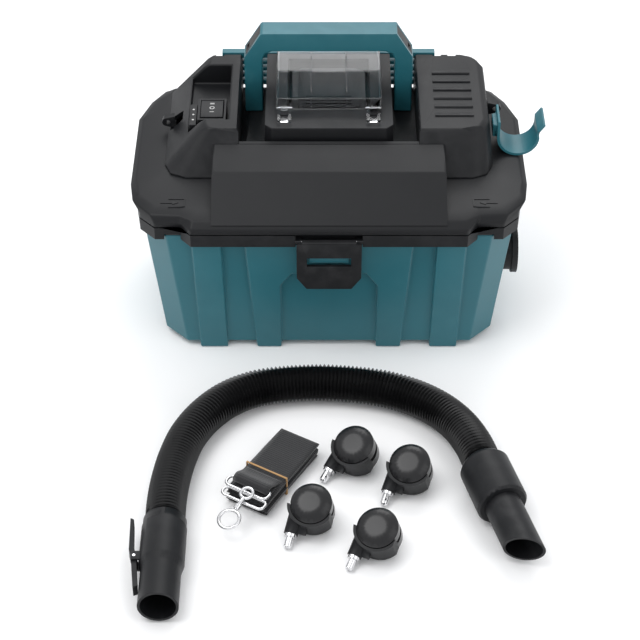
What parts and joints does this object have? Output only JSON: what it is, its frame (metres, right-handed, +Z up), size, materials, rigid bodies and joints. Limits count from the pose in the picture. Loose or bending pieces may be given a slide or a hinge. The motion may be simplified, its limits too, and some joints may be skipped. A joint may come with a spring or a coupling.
{
  "type": "cordless wet and dry shop vacuum",
  "caption": "Compact cordless wet and dry vacuum: teal tank and box handle, black lid with latches, clear battery cover, side hook, with loose hose, shoulder strap and casters.",
  "frame": {"origin": "on the floor under the middle of the tank, at the face of its central foot pad", "axes": "+Z up, -Y towards the front latch and the loose accessories, +X towards the hose inlet and hook"},
  "size_m": [0.4298, 0.624, 0.279],
  "materials": {
    "band_rubber": "elastic band",
    "black_plastic": "fine grained black moulding",
    "board": "circuit board",
    "brass_contact": "contact strips",
    "bright_steel": "polished wire and pins",
    "clear_plastic": "clear polycarbonate",
    "filter_media": "pleated media",
    "float": "hollow ball",
    "foam": "open cell foam",
    "hose_rubber": "fine corrugated",
    "seal_rubber": "soft seal",
    "steel": "machined",
    "teal": "moulded, satin gloss",
    "webbing": "woven strap",
    "wheel_tread": "hard wheel"
  },
  "bodies": {
    "tank_body": {"tank": "teal", "inlet_port": "black_plastic", "inlet_seal": "seal_rubber"},
    "head": {"head_gasket": "seal_rubber", "head_base": "black_plastic", "head_cover": "black_plastic", "top_housing": "black_plastic", "battery_box": "black_plastic", "front_cover": "black_plastic", "rear_cover": "teal", "battery_terminals": "brass_contact", "handle": "teal", "handle_caps": "black_plastic", "handle_screws": "bright_steel", "switch_bezel": "black_plastic", "indicator_strip": "black_plastic", "hose_hook": "teal", "strap_eyes": "black_plastic", "latch_pins": "bright_steel", "motor_housing": "steel", "motor_bearings": "steel", "fan_housing": "black_plastic", "control_board": "board", "exhaust_foam": "foam", "filter_cage": "black_plastic", "filter_element": "filter_media", "filter_cap": "black_plastic", "housing_screws": "bright_steel"},
    "cover_body": {"battery_cover": "clear_plastic", "cover_clip_pins": "bright_steel"},
    "clips_body": {"cover_clips": "clear_plastic"},
    "battery_body": {"battery_pack": "black_plastic"},
    "rocker_body": {"power_rocker": "black_plastic"},
    "front_latch_body": {"front_latch": "black_plastic"},
    "rear_latch_body": {"rear_latch": "black_plastic"},
    "rotor_body": {"motor_rotor": "steel", "impeller": "black_plastic"},
    "float_body": {"float_ball": "float"},
    "hose_body": {"hose_tube": "hose_rubber", "hose_cuff": "black_plastic", "cuff_latch_pin": "bright_steel", "nozzle_cuff": "black_plastic"},
    "lever_body": {"cuff_latch": "black_plastic"},
    "nozzle_body": {"nozzle_tube": "black_plastic"},
    "strap_body": {"strap_webbing": "webbing", "strap_band": "band_rubber", "strap_loops": "bright_steel"},
    "snap_body": {"snap_hook": "bright_steel"},
    "caster_1_body": {"caster_1_hood": "black_plastic"},
    "caster_1_roller": {"caster_1_wheels": "wheel_tread"},
    "caster_1_pin": {"caster_1_stem": "bright_steel"},
    "caster_2_body": {"caster_2_hood": "black_plastic"},
    "caster_2_roller": {"caster_2_wheels": "wheel_tread"},
    "caster_2_pin": {"caster_2_stem": "bright_steel"},
    "caster_3_body": {"caster_3_hood": "black_plastic"},
    "caster_3_roller": {"caster_3_wheels": "wheel_tread"},
    "caster_3_pin": {"caster_3_stem": "bright_steel"},
    "caster_4_body": {"caster_4_hood": "black_plastic"},
    "caster_4_roller": {"caster_4_wheels": "wheel_tread"},
    "caster_4_pin": {"caster_4_stem": "bright_steel"}
  },
  "joints": [
    {"name": "head_lift", "type": "slide", "parent": "tank_body", "child": "head", "axis": [0, 0, 1], "range_m": [0, 0.18]},
    {"name": "cover_slide", "type": "slide", "parent": "head", "child": "cover_body", "axis": [0, -1, 0], "range_m": [0, 0.095]},
    {"name": "clips_flip", "type": "hinge", "parent": "cover_body", "child": "clips_body", "pos_m": [0, 0.0063, 0.2274], "axis": [-1, 0, 0], "range_deg": [0, 75]},
    {"name": "battery_lift", "type": "slide", "parent": "head", "child": "battery_body", "axis": [0, 0, 1], "range_m": [0, 0.002]},
    {"name": "rocker_tip", "type": "hinge", "parent": "head", "child": "rocker_body", "pos_m": [-0.122, 0.02, 0.214], "axis": [1, 0, 0], "range_deg": [-10, 10]},
    {"name": "front_latch_swing", "type": "hinge", "parent": "head", "child": "front_latch_body", "pos_m": [0, -0.123, 0.152], "axis": [-1, 0, 0], "range_deg": [0, 100]},
    {"name": "rear_latch_swing", "type": "hinge", "parent": "head", "child": "rear_latch_body", "pos_m": [0, 0.123, 0.152], "axis": [1, 0, 0], "range_deg": [0, 100]},
    {"name": "rotor_spin", "type": "hinge", "parent": "head", "child": "rotor_body", "pos_m": [0, -0.033, 0.15], "axis": [0, 0, 1], "continuous": true},
    {"name": "float_rise", "type": "slide", "parent": "head", "child": "float_body", "axis": [0, 0, 1], "range_m": [0, 0.038]},
    {"name": "hose_lift", "type": "slide", "parent": "tank_body", "child": "hose_body", "axis": [0, 0, 1], "range_m": [0, 0.3]},
    {"name": "strap_lift", "type": "slide", "parent": "tank_body", "child": "strap_body", "axis": [0, 0, 1], "range_m": [0, 0.3]},
    {"name": "cuff_lever_rock", "type": "hinge", "parent": "hose_body", "child": "lever_body", "pos_m": [-0.1814, -0.438, 0.0215], "axis": [0, 0, 1], "range_deg": [-5, 0], "stiffness_Nm_per_rad": 0.6},
    {"name": "nozzle_pull", "type": "slide", "parent": "hose_body", "child": "nozzle_body", "axis": [0.2657, -0.9641, 0], "range_m": [0, 0.05]},
    {"name": "hook_swing", "type": "hinge", "parent": "strap_body", "child": "snap_body", "pos_m": [-0.0793, -0.3559, 0.0281], "axis": [-0.1246, -0.2074, 0.9703], "range_deg": [-12, 12]},
    {"name": "caster_1_lift", "type": "slide", "parent": "tank_body", "child": "caster_1_body", "axis": [0, 0, 1], "range_m": [0, 0.3]},
    {"name": "caster_1_roll", "type": "hinge", "parent": "caster_1_body", "child": "caster_1_roller", "pos_m": [0.027, -0.29, 0.02229], "axis": [-0.2451, -0.3634, 0.8988], "continuous": true},
    {"name": "caster_1_swivel", "type": "hinge", "parent": "caster_1_body", "child": "caster_1_pin", "pos_m": [0.01539, -0.28217, 0.02229], "axis": [-0.5026, -0.7451, -0.4384], "continuous": true},
    {"name": "caster_2_lift", "type": "slide", "parent": "tank_body", "child": "caster_2_body", "axis": [0, 0, 1], "range_m": [0, 0.3]},
    {"name": "caster_2_roll", "type": "hinge", "parent": "caster_2_body", "child": "caster_2_roller", "pos_m": [0.08, -0.316, 0.02229], "axis": [-0.1642, -0.4065, 0.8988], "continuous": true},
    {"name": "caster_2_swivel", "type": "hinge", "parent": "caster_2_body", "child": "caster_2_pin", "pos_m": [0.06702, -0.31076, 0.02229], "axis": [-0.3367, -0.8333, -0.4384], "continuous": true},
    {"name": "caster_3_lift", "type": "slide", "parent": "tank_body", "child": "caster_3_body", "axis": [0, 0, 1], "range_m": [0, 0.3]},
    {"name": "caster_3_roll", "type": "hinge", "parent": "caster_3_body", "child": "caster_3_roller", "pos_m": [-0.016, -0.37, 0.02229], "axis": [-0.1208, -0.4214, 0.8988], "continuous": true},
    {"name": "caster_3_swivel", "type": "hinge", "parent": "caster_3_body", "child": "caster_3_pin", "pos_m": [-0.02946, -0.36614, 0.02229], "axis": [-0.2477, -0.864, -0.4384], "continuous": true},
    {"name": "caster_4_lift", "type": "slide", "parent": "tank_body", "child": "caster_4_body", "axis": [0, 0, 1], "range_m": [0, 0.3]},
    {"name": "caster_4_roll", "type": "hinge", "parent": "caster_4_body", "child": "caster_4_roller", "pos_m": [0.047, -0.402, 0.02229], "axis": [-0.1853, -0.3973, 0.8988], "continuous": true},
    {"name": "caster_4_swivel", "type": "hinge", "parent": "caster_4_body", "child": "caster_4_pin", "pos_m": [0.03431, -0.39608, 0.02229], "axis": [-0.3798, -0.8146, -0.4384], "continuous": true}
  ]
}
